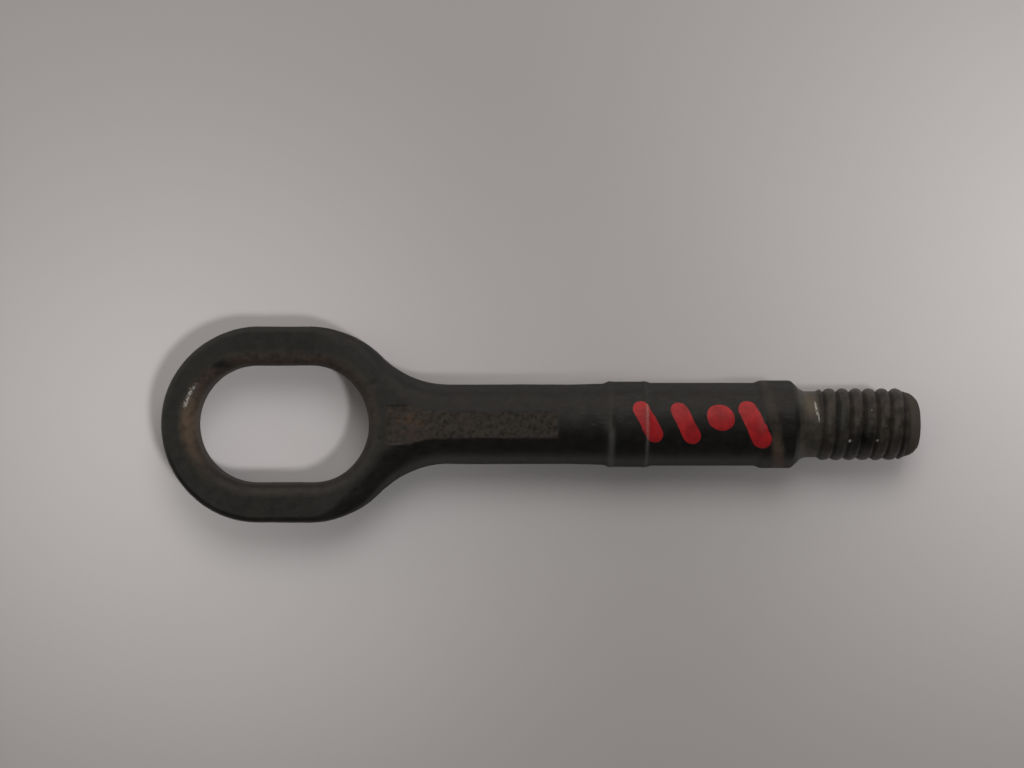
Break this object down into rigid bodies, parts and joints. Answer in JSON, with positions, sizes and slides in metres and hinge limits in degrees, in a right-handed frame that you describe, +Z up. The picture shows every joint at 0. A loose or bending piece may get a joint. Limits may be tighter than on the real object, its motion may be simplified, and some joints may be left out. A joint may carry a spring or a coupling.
{
  "type": "tow eye",
  "caption": "Screw-in steel tow eye: slot-shaped forged eye, round shank with guide lands and a seat cone, and a coarse left-hand thread.",
  "frame": {"origin": "centre of the footprint, on the surface that the piece lies on", "axes": "+X along the thread axis, from the eye to the threaded tip; +Z up, square to the flat of the eye"},
  "size_m": [0.1876, 0.0486, 0.0219],
  "materials": {
    "forged_steel": "worn black paint over forged steel, bare and dark at the thread"
  },
  "bodies": {
    "root": {"tow_eye": "forged_steel"}
  },
  "joints": []
}
